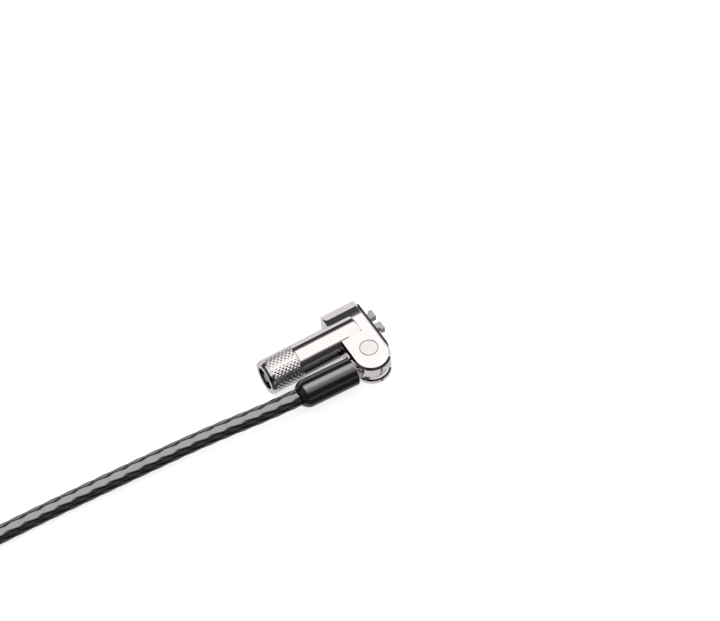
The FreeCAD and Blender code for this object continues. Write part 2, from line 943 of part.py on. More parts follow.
PAD_LOW = -S.head_below + S.pad_margin
PAD_HIGH = S.head_above - S.pad_margin
PAD_FRONT = -S.pivot_drop + S.pad_margin
PAD_BACK = S.arm_back - 2 * S.pad_margin
pad_blank = box(
    "pad_blank",
    (S.pad_thickness, PAD_BACK - PAD_FRONT, PAD_HIGH - PAD_LOW),
    (HEAD_FACE, PAD_FRONT, PAD_LOW),
)
doc.recompute()
pad_rounded = doc.addObject("Part::Fillet", "pad_rounded")
pad_rounded.Base = pad_blank
pad_rounded.Edges = [
    (number, float(S.pad_corner), float(S.pad_corner))
    for number, edge in enumerate(pad_blank.Shape.Edges, start=1)
    if edge.BoundBox.YLength + edge.BoundBox.ZLength < 1e-6
]
pad_window = box(
    "pad_window",
    (S.pad_thickness, 2 * S.pad_opening, S.pad_opening_height),
    (HEAD_FACE, -S.pad_opening, -0.5 * S.pad_opening_height),
)
node(cut("pad_cut", pad_rounded, [pad_window]), "bumper_pad")

# Swivel pin, eye, sleeve and the cable's end, measured from the swivel's axis.
# The cable leaves toward -X, so these are turned half round when they are placed.

pivot_pin = fused(
    "pivot_pin_solid",
    [
        cylinder(
            "pivot_shank",
            S.pivot_radius,
            S.head_below + PIVOT_TOP - S.seat_gap,
            (PIVOT_X, -S.pivot_drop, -S.head_below),
            Z_AXIS,
        ),
        cylinder(
            "pivot_head",
            S.pivot_head_radius,
            S.pivot_head_height - S.seat_gap,
            (PIVOT_X, -S.pivot_drop, -S.head_below),
            Z_AXIS,
        ),
    ],
)
node(pivot_pin, "pivot_pin")

CABLE_TURN = 180.0 - S.rest_swing_angle
CRIMP_END = SLEEVE_START + S.crimp_length

eye_blank = fused(
    "eye_blank",
    [
        cylinder(
            "eye_ring", S.eye_radius, S.eye_thickness, (0, 0, -0.5 * S.eye_thickness), Z_AXIS
        ),
        box(
            "eye_neck",
            (SLEEVE_START, S.neck_width, S.eye_thickness),
            (0, -0.5 * S.neck_width, -0.5 * S.eye_thickness),
        ),
        cylinder("eye_crimp", S.crimp_radius, S.crimp_length, (SLEEVE_START, 0, 0)),
    ],
)
eye_bore = cylinder(
    "eye_bore",
    S.pivot_radius + S.running_gap,
    2 * S.eye_thickness,
    (0, 0, -S.eye_thickness),
    Z_AXIS,
)
CORE_START = SLEEVE_START + S.crimp_blind
crimp_bore = cylinder(
    "crimp_bore", S.core_radius + S.seat_gap, S.crimp_length, (CORE_START, 0, 0)
)
node(cut("eye_cut", eye_blank, [eye_bore, crimp_bore]), "swivel_eye", PIVOT, CABLE_TURN)

cable_end = fused(
    "cable_end_solid",
    [
        cylinder(
            "cable_end_core",
            S.core_radius,
            CRIMP_END - CORE_START,
            (CORE_START + S.seat_gap, 0, 0),
        ),
        cylinder(
            "cable_end_coat",
            S.cable_radius,
            SLEEVE_END - CRIMP_END - S.seat_gap,
            (CRIMP_END + S.seat_gap, 0, 0),
        ),
    ],
)
node(cable_end, "cable_end", PIVOT, CABLE_TURN)

sleeve_body = turned(
    "sleeve_body",
    [
        (SLEEVE_START + S.seat_gap, S.crimp_radius + S.seat_gap),
        (SLEEVE_START + S.seat_gap, S.sleeve_radius),
        (SLEEVE_END - S.sleeve_taper, S.sleeve_radius),
        (SLEEVE_END, S.sleeve_end_radius),
        (SLEEVE_END, S.cable_radius + S.seat_gap),
        (CRIMP_END + S.seat_gap, S.cable_radius + S.seat_gap),
        (CRIMP_END + S.seat_gap, S.crimp_radius + S.seat_gap),
    ],
)
doc.recompute()
sleeve_turning = doc.getObject("sleeve_body_turning")
sleeve_shoulder = round_edge(
    sleeve_body,
    sleeve_turning,
    "sleeve_shoulder",
    S.sleeve_radius,
    SLEEVE_END - S.sleeve_taper,
    S.sleeve_shoulder_radius,
)
round_edge(
    sleeve_body,
    sleeve_shoulder,
    "sleeve_edge",
    S.sleeve_radius,
    SLEEVE_START + S.seat_gap,
    S.sleeve_edge_radius,
)
node(sleeve_body, "strain_sleeve", PIVOT, CABLE_TURN)

# Cable: a stretch on the table, a tied hank, a ferrule and an eye.
# These points are in the model's frame.

CABLE = float(S.cable_radius)


def unit(vector):
    return Vector(vector).normalize()


def toward(angle_deg):
    """A level direction, by its angle from +X."""
    angle = math.radians(angle_deg)
    return Vector(math.cos(angle), math.sin(angle), 0)


EXIT_DIRECTION = toward(float(CABLE_TURN))
EXIT = Vector(*(float(size) for size in PIVOT)) + EXIT_DIRECTION * float(SLEEVE_END)
EXIT_STRAIGHT = 8.0
HANK_START = Vector(-117.25, 0.57, CABLE)

RUN_POINTS = [
    EXIT,
    EXIT + EXIT_DIRECTION * EXIT_STRAIGHT,
    Vector(-40.75, -3.03, 4.15),
    Vector(-62.75, -1.12, 2.85),
    Vector(-84.75, 0.02, CABLE),
    Vector(-106.75, 0.57, CABLE),
    HANK_START,
]


def bent_path(points):
    """Straight runs joined by tangent arcs, each as large as its two runs allow."""
    edges = []
    radii = []
    start = points[0]
    for before, corner, after in zip(points, points[1:], points[2:]):
        arriving = unit(corner - before)
        leaving = unit(after - corner)
        turn = arriving.getAngle(leaving)
        reach = 0.45 * min((corner - before).Length, (after - corner).Length)
        radius = reach / math.tan(turn / 2)
        radii.append(round(radius, 1))
        first = corner - arriving * reach
        last = corner + leaving * reach
        inward = unit(leaving - arriving)
        middle = corner + inward * (radius / math.cos(turn / 2) - radius)
        edges.append(Part.LineSegment(start, first).toShape())
        edges.append(Part.Arc(first, middle, last).toShape())
        start = last
    edges.append(Part.LineSegment(start, points[-1]).toShape())
    print("radii of the cable's route in mm:", radii)
    return Part.Wire(edges)


def tube(name, path, start, direction, at):
    """A round tube of the cable's size along a path drawn in its own frame."""
    section = Part.Wire(Part.makeCircle(CABLE, start, direction))
    solid = path.makePipeShell([section], True, False)
    expected = math.pi * CABLE**2 * path.Length
    share = round(solid.Volume / expected, 4)
    print(name, "length in mm:", round(path.Length, 1), "share of expected volume:", share)
    made = feature(name + "_tube", solid)
    made.Placement.Base = at
    made.Label = name
    nodes.append(made)


run_path = bent_path([point - EXIT for point in RUN_POINTS])
tube("cable_run", run_path, Vector(), EXIT_DIRECTION, EXIT)

# Hank: long loops that spiral in and out in four layers, drawn in at the waist.
# Each new layer is reached by a climb along the whole of one straight side.

HANK_RIGHT = HANK_START.x - 2 * CABLE
HANK_LEFT = HANK_RIGHT - float(S.hank_run)
HANK_WAIST = 0.5 * (HANK_RIGHT + HANK_LEFT)
HANK_CENTRE = HANK_START.y + float(S.hank_offset)
HANK_SIDES = 12
SIDES_PER_LAYER = 3
WAIST_LIFT = float(S.tie_thickness + S.tie_gap)
EYE_LEVEL = 4 * float(S.hank_layer) + WAIST_LIFT + CABLE
FERRULE_Y = float(S.hank_offset - S.hank_step - 2 * S.eye_loop_radius + 0.5 * S.ferrule_pitch)


def side_offset(i):
    """How far from the hank's middle line its i-th straight side lies."""
    steps = abs((i + SIDES_PER_LAYER) % (2 * SIDES_PER_LAYER) - SIDES_PER_LAYER)
    return float(S.hank_offset - steps * S.hank_step)


def side_levels(i):
    """The heights at which the i-th side starts and ends."""
    low = CABLE + max(0, (i - 1) // SIDES_PER_LAYER) * float(S.hank_layer)
    high = CABLE + i // SIDES_PER_LAYER * float(S.hank_layer)
    if i == HANK_SIDES - 1:
        high = EYE_LEVEL
    return low, high


def waist_point(i):
    """Where the i-th side passes through the tie."""
    side = -1 if i % 2 == 0 else 1
    y = HANK_CENTRE + side * (side_offset(i) - float(S.waist_draw))
    return Vector(HANK_WAIST, y, 0.5 * sum(side_levels(i)) + WAIST_LIFT)


def double_bend(start, end):
    """Two arcs that leave one point along X and reach another along X."""
    across = end - start
    across.x = 0
    third = X_AXIS * (0.25 * (end.x - start.x))
    middle = (start + end) * 0.5
    length = abs(end.x - start.x)
    radius = (length**2 + across.Length**2) / (4 * across.Length)
    half_angle = 0.5 * math.asin(0.5 * length / radius)
    toward_end = unit(across) * (radius * (1 - math.cos(half_angle)))
    along = unit(third) * (radius * math.sin(half_angle))
    first = Part.Arc(start, start + along + toward_end, middle)
    second = Part.Arc(middle, end - along - toward_end, end)
    return [first.toShape(), second.toShape()]


def hank_edges():
    """The hank's straight sides and half turns, from the stretch on the table to the ferrule."""
    edges = [Part.LineSegment(HANK_START, Vector(HANK_RIGHT, HANK_START.y, CABLE)).toShape()]
    for i in range(HANK_SIDES):
        side = -1 if i % 2 == 0 else 1
        near, far = (HANK_RIGHT, HANK_LEFT) if side < 0 else (HANK_LEFT, HANK_RIGHT)
        low, high = side_levels(i)
        y = HANK_CENTRE + side * side_offset(i)
        entry = Vector(near, y, low)
        leave = Vector(far, y, high)
        next_y = HANK_CENTRE - side * side_offset(i + 1)
        if i == HANK_SIDES - 1:
            next_y = HANK_CENTRE + FERRULE_Y - 0.5 * float(S.ferrule_pitch)
        apex = Vector(far + side * 0.5 * abs(y - next_y), 0.5 * (y + next_y), high)
        edges += double_bend(entry, waist_point(i))
        edges += double_bend(waist_point(i), leave)
        edges.append(Part.Arc(leave, apex, Vector(far, next_y, high)).toShape())
    stem = Vector(HANK_RIGHT, next_y, high)
    end = stem - X_AXIS * float(S.ferrule_start + S.ferrule_length)
    edges.append(Part.LineSegment(stem, end).toShape())
    return edges


def least_self_gap(path, apart):
    """The smallest gap between a tube's own turns, measured on points a few mm apart."""
    points = path.discretize(Number=int(path.Length))
    spacing = path.Length / (len(points) - 1)
    skip = int(apart / spacing)
    least = path.Length
    for i, point in enumerate(points):
        for other in points[i + skip :]:
            least = min(least, point.distanceToPoint(other))
    return least - 2 * CABLE


hank_path = Part.Wire(hank_edges())
print("cable_hank least gap in mm:", round(least_self_gap(hank_path, 20), 2))
hank_path.translate(HANK_START * -1)
tube("cable_hank", hank_path, Vector(), X_AXIS * -1, HANK_START)

# Far eye: a stem of two strands out of the ferrule, then a loop.
# The ferrule's own frame starts on its face toward the eye, which lies toward -X.

FERRULE_AT = Vector(
    HANK_RIGHT - float(S.ferrule_start + S.ferrule_length),
    HANK_CENTRE + FERRULE_Y,
    EYE_LEVEL,
)
HALF_PITCH = 0.5 * float(S.ferrule_pitch)


def eye_path():
    """Out along one strand, round the loop, and back along the other into the ferrule."""
    bend = math.radians(float(S.eye_bend_angle))
    bend_radius = float(S.eye_bend_radius)
    loop_radius = float(S.eye_loop_radius)
    start = Vector(0, -HALF_PITCH, 0)
    stem = start - X_AXIS * float(S.eye_stem)
    halfway = bend / 2
    spread = Vector(-math.sin(bend), math.cos(bend) - 1, 0) * bend_radius
    midway = Vector(-math.sin(halfway), math.cos(halfway) - 1, 0) * bend_radius
    out = stem + spread
    taper = (loop_radius * math.cos(bend) + out.y) / math.sin(bend)
    shoulder = out - Vector(math.cos(bend), math.sin(bend), 0) * taper
    tip = Vector(shoulder.x - loop_radius * (math.sin(bend) + 1), 0, 0)

    def mirrored(point):
        return Vector(point.x, -point.y, point.z)

    end = Vector(float(S.ferrule_length), HALF_PITCH, 0)
    return Part.Wire(
        [
            Part.LineSegment(start, stem).toShape(),
            Part.Arc(stem, stem + midway, out).toShape(),
            Part.LineSegment(out, shoulder).toShape(),
            Part.Arc(shoulder, tip, mirrored(shoulder)).toShape(),
            Part.LineSegment(mirrored(shoulder), mirrored(out)).toShape(),
            Part.Arc(mirrored(out), mirrored(stem + midway), mirrored(stem)).toShape(),
            Part.LineSegment(mirrored(stem), end).toShape(),
        ]
    )


tube("cable_eye", eye_path(), Y_AXIS * -HALF_PITCH, X_AXIS * -1, FERRULE_AT)


def ferrule():
    """A crimped oval ferrule that holds the cable beside its own end."""
    radius = float(S.ferrule_radius)
    length = float(S.ferrule_length)
    bore = CABLE + float(S.ferrule_gap)

    def strands(size):
        return [
            Part.makeCylinder(size, length, Vector(0, side * HALF_PITCH, 0), X_AXIS)
            for side in (1, -1)
        ]

    web = Part.makeBox(length, 2 * HALF_PITCH, 2 * radius, Vector(0, -HALF_PITCH, -radius))
    front, back = strands(radius)
    oval = front.fuse([back, web]).removeSplitter()
    made = feature("loop_ferrule_solid", oval.cut(strands(bore)))
    made.Placement.Base = FERRULE_AT
    made.Label = "loop_ferrule"
    nodes.append(made)


ferrule()


def cable_tie():
    """A hook-and-loop strap drawn tight round every strand at the hank's waist."""
    sides = {i: waist_point(i) for i in range(HANK_SIDES)}
    front_leg = Vector(HANK_WAIST, FERRULE_AT.y - HALF_PITCH, EYE_LEVEL)
    back_leg = Vector(HANK_WAIST, FERRULE_AT.y + HALF_PITCH, EYE_LEVEL)
    last = HANK_SIDES - 1
    corners = [sides[0], sides[1], sides[last], back_leg, front_leg, sides[last - 1], sides[6]]
    at = Vector(HANK_WAIST, HANK_CENTRE, 0)
    corners = [corner - at - X_AXIS * (0.5 * float(S.tie_width)) for corner in corners]
    core = Part.makePolygon(corners + corners[:1])
    inside = core.makeOffset2D(CABLE + float(S.tie_gap))
    outside = core.makeOffset2D(CABLE + float(S.tie_gap + S.tie_thickness))
    band = Part.Face(outside).cut(Part.Face(inside)).extrude(X_AXIS * float(S.tie_width))
    made = feature("cable_tie_band", band)
    made.Placement.Base = at
    made.Label = "cable_tie"
    nodes.append(made)


cable_tie()

# Check every object, then write one file for each sub-part

doc.recompute()
for thing in doc.Objects:
    if "Invalid" in thing.State or "Error" in thing.State:
        raise ValueError(f"{thing.Name} failed to build: {thing.State}")
for thing in nodes:
    if thing.Shape.isNull() or not thing.Shape.isValid() or not thing.Shape.Solids:
        raise ValueError(f"{thing.Label} has no sound solid")

os.makedirs("parts", exist_ok=True)
for thing in nodes:
    thing.Shape.exportStep(f"parts/{thing.Label}.step")
    print(thing.Label, len(thing.Shape.Solids), "solids", round(thing.Shape.Volume, 1), "mm3")
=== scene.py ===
import math

import bpy
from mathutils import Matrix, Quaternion, Vector


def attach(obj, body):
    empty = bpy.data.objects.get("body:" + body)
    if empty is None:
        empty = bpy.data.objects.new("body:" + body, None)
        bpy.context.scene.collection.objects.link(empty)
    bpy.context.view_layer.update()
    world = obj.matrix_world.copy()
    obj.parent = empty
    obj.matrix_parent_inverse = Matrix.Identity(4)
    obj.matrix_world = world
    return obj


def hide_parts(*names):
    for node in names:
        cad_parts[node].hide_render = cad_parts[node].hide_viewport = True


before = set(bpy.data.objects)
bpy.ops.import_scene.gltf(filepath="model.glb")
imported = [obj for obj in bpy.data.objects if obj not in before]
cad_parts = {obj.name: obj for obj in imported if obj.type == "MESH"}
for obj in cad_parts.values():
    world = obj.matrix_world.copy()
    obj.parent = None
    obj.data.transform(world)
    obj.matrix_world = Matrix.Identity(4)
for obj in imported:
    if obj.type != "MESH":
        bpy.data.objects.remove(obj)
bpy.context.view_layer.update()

MM = 0.001
X_AXIS = Vector((1, 0, 0))
Z_AXIS = Vector((0, 0, 1))

# Camera at the photograph's angle

CAMERA_PLACE = (-0.13968, -0.29371, 0.46955)
CAMERA_TURN = Quaternion((0.914027, 0.305552, -0.060634, -0.259840))
CAMERA_LENS = 102.5
CAMERA_SENSOR = 36

camera = bpy.data.objects.new("camera", bpy.data.cameras.new("camera"))
bpy.context.scene.collection.objects.link(camera)
bpy.context.scene.camera = camera
camera.location = CAMERA_PLACE
camera.rotation_mode = "QUATERNION"
camera.rotation_quaternion = CAMERA_TURN
camera.data.lens = CAMERA_LENS
camera.data.sensor_width = CAMERA_SENSOR
camera.data.clip_start = 0.01
camera.data.clip_end = 20

# Materials


class Nodes:
    """A small helper that adds and links shader nodes."""

    def __init__(self, tree):
        self.tree = tree
        tree.nodes.clear()

    def add(self, kind, inputs=None, **settings):
        made = self.tree.nodes.new(kind)
        for name, value in settings.items():
            setattr(made, name, value)
        for name, value in (inputs or {}).items():
            self.give(made, name, value)
        return made

    def give(self, made, name, value):
        if hasattr(value, "is_linked"):
            self.tree.links.new(value, made.inputs[name])
        else:
            made.inputs[name].default_value = value

    def ramp(self, source, stops):
        made = self.add("ShaderNodeValToRGB", {"Fac": source})
        ramp = made.color_ramp
        while len(ramp.elements) < len(stops):
            ramp.elements.new(1.0)
        for element, (place, colour) in zip(ramp.elements, stops):
            element.position = place
            grey = isinstance(colour, (int, float))
            element.color = (colour,) * 3 + (1,) if grey else tuple(colour) + (1,)
        return made.outputs["Color"]

    def noise(self, scale, detail=3.0, rough=0.5, where=None):
        inputs = {"Scale": scale, "Detail": detail, "Roughness": rough}
        if where is not None:
            inputs["Vector"] = where
        return self.add("ShaderNodeTexNoise", inputs).outputs["Fac"]

    def between(self, source, low, high, first=0.0, last=1.0):
        inputs = {"Value": source, "From Min": first, "From Max": last}
        inputs.update({"To Min": low, "To Max": high})
        return self.add("ShaderNodeMapRange", inputs).outputs["Result"]

    def math(self, operation, a, b=0.0):
        made = self.add("ShaderNodeMath", {0: a, 1: b}, operation=operation)
        return made.outputs[0]

    def mix(self, factor, a, b, blend="MIX"):
        made = self.add("ShaderNodeMix", data_type="RGBA", blend_type=blend)
        self.give(made, 0, factor)
        self.give(made, 6, a)
        self.give(made, 7, b)
        return made.outputs[2]

    def bump(self, height, strength, distance, after=None):
        inputs = {"Height": height, "Strength": strength, "Distance": distance}
        if after is not None:
            inputs["Normal"] = after
        return self.add("ShaderNodeBump", inputs).outputs["Normal"]


def new_material(name):
    made = bpy.data.materials.new(name)
    made.use_nodes = True
    return made, Nodes(made.node_tree)


def finish_material(nodes, inputs):
    shader = nodes.add("ShaderNodeBsdfPrincipled", inputs)
    out = nodes.add("ShaderNodeOutputMaterial")
    nodes.tree.links.new(shader.outputs["BSDF"], out.inputs["Surface"])


def object_place(nodes):
    return nodes.add("ShaderNodeTexCoord").outputs["Object"]


PIT_DEPTH = 0.03 * MM
SKIN_DEPTH = 0.04 * MM
FUZZ_DEPTH = 0.1 * MM
CROWN_START = 5.9 * MM
CROWN_END = 7.9 * MM
CROWN_SLOPE = 0.15


def crown(nodes, place):
    """The head's top falls away gently along its arm."""
    along = nodes.add("ShaderNodeSeparateXYZ", {"Vector": place}).outputs["Y"]
    rise = nodes.between(along, 0.0, 1.0, CROWN_START, CROWN_END)
    half = 0.5 * (CROWN_END - CROWN_START)
    bend = nodes.math("MULTIPLY", nodes.math("MULTIPLY", rise, rise), half)
    beyond = nodes.math("MAXIMUM", nodes.math("SUBTRACT", along, CROWN_END), 0.0)
    fall = nodes.math("MULTIPLY", nodes.math("ADD", bend, beyond), -CROWN_SLOPE)
    return nodes.bump(fall, 1.0, 1.0)


BADGE = (9.95 * MM, -4.725 * MM)
BADGE_REACH = 5.0 * MM
# Painted shade: a duller disc and a dark painted ring round the plain place on the head's top.
BADGE_PAINTED_SHADE = [(0.0, 0.90), (0.470, 0.92), (0.480, 0.42), (0.530, 0.42), (0.540, 1.0)]
HEAD_TOP_FROM = 8.6 * MM
HEAD_TOP = 8.8 * MM


def painted_badge_shade(nodes, place):
    """Painted shade on the head's top: the plain round place a little duller, inside a dark painted
    ring.
    """
    split = nodes.add("ShaderNodeSeparateXYZ", {"Vector": place})
    x = nodes.math("SUBTRACT", split.outputs["X"], BADGE[0])
    y = nodes.math("SUBTRACT", split.outputs["Y"], BADGE[1])
    square = nodes.math("ADD", nodes.math("MULTIPLY", x, x), nodes.math("MULTIPLY", y, y))
    distance = nodes.math("MULTIPLY", nodes.math("SQRT", square), 1 / BADGE_REACH)
    tone = nodes.ramp(distance, BADGE_PAINTED_SHADE)
    top = nodes.between(split.outputs["Z"], 0.0, 1.0, HEAD_TOP_FROM, HEAD_TOP)
    return nodes.mix(top, (1, 1, 1, 1), tone)


def metal(name, colour, dark, rough, grain, bump=0.12, lines=None, crowned=False):
    """Plated or plain metal: cloudy tint, uneven gloss, fine pits and, where asked, brushing."""
    made, nodes = new_material(name)
    place = object_place(nodes)
    cloud = nodes.noise(grain, 4.0, 0.55, place)
    fine = nodes.noise(grain * 14, 2.0, 0.5, place)
    colours = nodes.ramp(cloud, [(0.25, dark), (0.7, colour)])
    if crowned:
        # On the head's top, painted shade: a duller disc inside a dark painted ring.
        colours = nodes.mix(1.0, colours, painted_badge_shade(nodes, place), "MULTIPLY")
    gloss = nodes.between(cloud, rough * 0.7, rough * 1.5, 0.3, 0.7)
    normal = nodes.bump(fine, bump, PIT_DEPTH, crown(nodes, place) if crowned else None)
    if lines is not None:
        stretch = nodes.add("ShaderNodeMapping", {"Vector": place, "Scale": lines})
        streak = nodes.noise(1.0, 3.0, 0.6, stretch.outputs["Vector"])
        gloss = nodes.between(streak, rough * 0.6, rough * 1.7, 0.3, 0.7)
        normal = nodes.bump(streak, bump * 1.5, SKIN_DEPTH, normal)
    finish_material(
        nodes,
        {"Base Color": colours, "Metallic": 1.0, "Roughness": gloss, "Normal": normal},
    )
    return made


# Stops over the surface's lean toward +Y, from 0 to 1: the coat's share, a painted highlight where it
# is full and painted shade where it is thin.
SLEEVE_PAINTED_HIGHLIGHT = [(0.24, 0.12), (0.34, 0.50), (0.37, 1.0), (0.47, 1.0), (0.51, 0.30), (0.58, 0.12)]
# The cord's coat share: a painted highlight along its upper side, with painted shade underneath.
CORD_PAINTED_HIGHLIGHT = [(0.10, 0.15), (0.26, 1.0), (0.62, 1.0), (0.80, 0.30)]
COAT_IOR = 3.5


def painted_highlight(nodes, stops):
    """Painted highlight: the clear coat's share set by which way the surface faces, full along one
    upper side, thin on the rest and underneath, where it leaves painted shade.
    """
    normal = nodes.add("ShaderNodeNewGeometry").outputs["Normal"]
    split = nodes.add("ShaderNodeSeparateXYZ", {"Vector": normal})
    lean = nodes.math("ADD", nodes.math("MULTIPLY", split.outputs["Y"], 0.5), 0.5)
    above = nodes.between(split.outputs["Z"], 0.15, 1.0, 0.0, 0.4)
    return nodes.math("MULTIPLY", nodes.ramp(lean, stops), above)


def plastic(name, colour, light, rough, grain, bump, coat=False):
    """Moulded plastic or rubber: slight tone changes, uneven gloss and a fine skin."""
    made, nodes = new_material(name)
    place = object_place(nodes)
    cloud = nodes.noise(grain, 4.0, 0.6, place)
    skin = nodes.noise(grain * 20, 3.0, 0.6, place)
    colours = nodes.ramp(cloud, [(0.3, colour), (0.75, light)])
    gloss = nodes.between(skin, rough * 0.75, rough * 1.4, 0.3, 0.7)
    normal = nodes.bump(skin, bump, SKIN_DEPTH)
    finish_material(
        nodes,
        {
            "Base Color": colours,
            "Roughness": gloss,
            "Normal": normal,
            # With coat, the coat's share is a painted highlight set by which way the surface faces.
            "Coat Weight": painted_highlight(nodes, SLEEVE_PAINTED_HIGHLIGHT) if coat else 0.0,
            "Coat Roughness": 0.08,
            "Coat IOR": COAT_IOR,
        },
    )
    return made


CHROME = metal("chrome", (0.93, 0.89, 0.88), (0.86, 0.82, 0.81), 0.055, 260)
CAST = metal("cast_chrome", (0.93, 0.89, 0.88), (0.86, 0.82, 0.81), 0.06, 260, crowned=True)
KNURL = metal("knurled_chrome", (0.90, 0.87, 0.86), (0.78, 0.75, 0.74), 0.11, 600, 0.2)
BEZEL = metal("bezel", (0.84, 0.80, 0.79), (0.70, 0.67, 0.66), 0.12, 500)
STEEL = metal("steel", (0.62, 0.61, 0.60), (0.48, 0.47, 0.47), 0.27, 420, 0.2, (900, 9000, 9000))
SPRING = metal("spring_steel", (0.50, 0.50, 0.52), (0.38, 0.38, 0.40), 0.3, 900, 0.2)
BRASS = metal("brass", (0.80, 0.60, 0.28), (0.62, 0.45, 0.20), 0.25, 500, 0.2, (9000, 900, 900))
PRESSED = metal("pressed_aluminium", (0.72, 0.72, 0.73), (0.55, 0.55, 0.57), 0.34, 300, 0.3)
RUBBER = plastic("rubber", (0.018, 0.018, 0.019), (0.03, 0.03, 0.031), 0.62, 700, 0.5)
SLEEVE = plastic(
    "glossy_sleeve", (0.006, 0.006, 0.007), (0.011, 0.011, 0.013), 0.10, 300, 0.05, coat=True
)

STRANDS = 6
WIRES = 30
WIRE_SLANT = -260.0
STRAND_DEPTH = 0.18 * MM
STRAND_TONES = [
    (0.0, (0.0025, 0.0022, 0.0022)),
    (0.45, (0.008, 0.007, 0.007)),
    (1.0, (0.03, 0.027, 0.026)),
]
GROOVE_TONE = (0.004, 0.0035, 0.0035, 1)


def cable_material():
    """Stranded steel under a clear dark coat: the strands show as slanting light bands."""
    made, nodes = new_material("coated_rope")
    uv = nodes.add("ShaderNodeTexCoord").outputs["UV"]
    split = nodes.add("ShaderNodeSeparateXYZ", {"Vector": uv})
    across, along = split.outputs["X"], split.outputs["Y"]
    strand = nodes.math("FRACT", nodes.math("MULTIPLY", across, STRANDS))
    lean = nodes.math("SUBTRACT", nodes.math("MULTIPLY", strand, 2.0), 1.0)
    ridge = nodes.math("SUBTRACT", 1.0, nodes.math("ABSOLUTE", lean))
    slant = nodes.math("MULTIPLY", along, WIRE_SLANT)
    wire = nodes.math("FRACT", nodes.math("ADD", nodes.math("MULTIPLY", across, WIRES), slant))
    wire_ridge = nodes.math("ABSOLUTE", nodes.math("SUBTRACT", wire, 0.5))
    tone = nodes.ramp(ridge, STRAND_TONES)
    tone = nodes.mix(nodes.math("MULTIPLY", wire_ridge, 0.5), tone, GROOVE_TONE)
    place = object_place(nodes)
    smear = nodes.noise(900, 3.0, 0.6, place)
    gloss = nodes.between(smear, 0.12, 0.26, 0.3, 0.7)
    normal = nodes.bump(ridge, 0.55, STRAND_DEPTH)
    finish_material(
        nodes,
        {
            "Base Color": tone,
            "Roughness": gloss,
            "Normal": normal,
            # The coat's share is a painted highlight set by which way the surface faces.
            "Coat Weight": painted_highlight(nodes, CORD_PAINTED_HIGHLIGHT),
            "Coat Roughness": 0.10,
            "Coat IOR": COAT_IOR,
        },
    )
    return made


def strap_material():
    """Woven hook-and-loop strap: fuzzy dark loops in rows."""
    made, nodes = new_material("woven_strap")
    place = object_place(nodes)
    rows = {"Vector": place, "Scale": 900.0, "Distortion": 1.5}
    wave = nodes.add("ShaderNodeTexWave", rows).outputs["Fac"]
    fuzz = nodes.noise(4000, 4.0, 0.7, place)
    tone = nodes.ramp(fuzz, [(0.3, (0.012, 0.012, 0.013)), (0.7, (0.05, 0.05, 0.054))])
    normal = nodes.bump(fuzz, 0.6, FUZZ_DEPTH)
    normal = nodes.bump(wave, 0.5, FUZZ_DEPTH, normal)
    gloss = nodes.between(fuzz, 0.7, 0.95)
    finish_material(
        nodes,
        {
            "Base Color": tone,
            "Roughness": gloss,
            "Normal": normal,
            "Sheen Weight": 0.4,
            "Sheen Roughness": 0.5,
        },
    )
    return made


ROPE = cable_material()
STRAP = strap_material()

LOOKS = {
    CHROME: ("lock_shell", "swivel_eye"),
    CAST: ("head_casting",),
    BEZEL: ("face_ring",),
    STEEL: (
        "key_plug",
        "stator_pin",
        "spindle",
        "scroll",
        "cleat_back",
        "cleat_front",
        "cleat_guide",
        "barrel_dowel",
        "pivot_pin",
    ),
    SPRING: ("pin_springs", "spindle_clip"),
    BRASS: ("key_pins", "stator", "driver_pins"),
    PRESSED: ("loop_ferrule",),
    RUBBER: ("bumper_pad",),
    SLEEVE: ("strain_sleeve",),
    ROPE: ("cable_end",),
}

for look, names in LOOKS.items():
    for name in names:
        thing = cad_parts[name]
        thing.data.materials.clear()
        thing.data.materials.append(look)


# Mesh pieces


def new_piece(name, mesh, body, look, replaced=()):
    """A mesh as a piece that rides on a body and takes its finish from a slot."""
    piece = bpy.data.objects.new(name, mesh)
    bpy.context.scene.collection.objects.link(piece)
    mesh.materials.append(look)
    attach(piece, body)
    if replaced:
        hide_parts(*replaced)
    return piece


def grid_mesh(name, rows, uvs=None):
    """A mesh from closed rows of points, each row joined to the next."""
    wide = len(rows[0])
    points = [point for row in rows for point in row]
    faces = []
    for i in range(len(rows) - 1):
        for j in range(wide):
            k = (j + 1) % wide
            faces.append((i * wide + j, i * wide + k, (i + 1) * wide + k, (i + 1) * wide + j))
    mesh = bpy.data.meshes.new(name)
    mesh.from_pydata(points, [], faces)
    if uvs is not None:
        layer = mesh.uv_layers.new(name="turns")
        for face_number, polygon in enumerate(mesh.polygons):
            i, j = divmod(face_number, wide)
            spots = ((i, j), (i, j + 1), (i + 1, j + 1), (i + 1, j))
            for loop, (row, column) in zip(polygon.loop_indices, spots):
                layer.data[loop].uv = uvs(row, column)
    for polygon in mesh.polygons:
        polygon.use_smooth = True
    mesh.update()
    return mesh


# Cable, in millimetres: table stretch, hank and stem into the ferrule are one cord

CABLE = 2.5
CABLE_SIDES = 24
LINE_STEP = 0.9 * MM
SPLINE_STEPS = 16
HANK_START = Vector((-117.25, 0.57, CABLE))
SWIVEL = Vector((9.5, -6.825, 5.05))
REST_TURN = math.radians(178.0)
SLEEVE_END = 22.75
EXIT_DIRECTION = Vector((math.cos(REST_TURN), math.sin(REST_TURN), 0))
EXIT = SWIVEL + EXIT_DIRECTION * SLEEVE_END
EXIT_STRAIGHT = 8.0
TABLE_POINTS = [
    Vector((-40.75, -3.03, 4.15)),
    Vector((-62.75, -1.12, 2.85)),
    Vector((-84.75, 0.02, CABLE)),
    Vector((-106.75, 0.57, CABLE)),
    HANK_START,
]

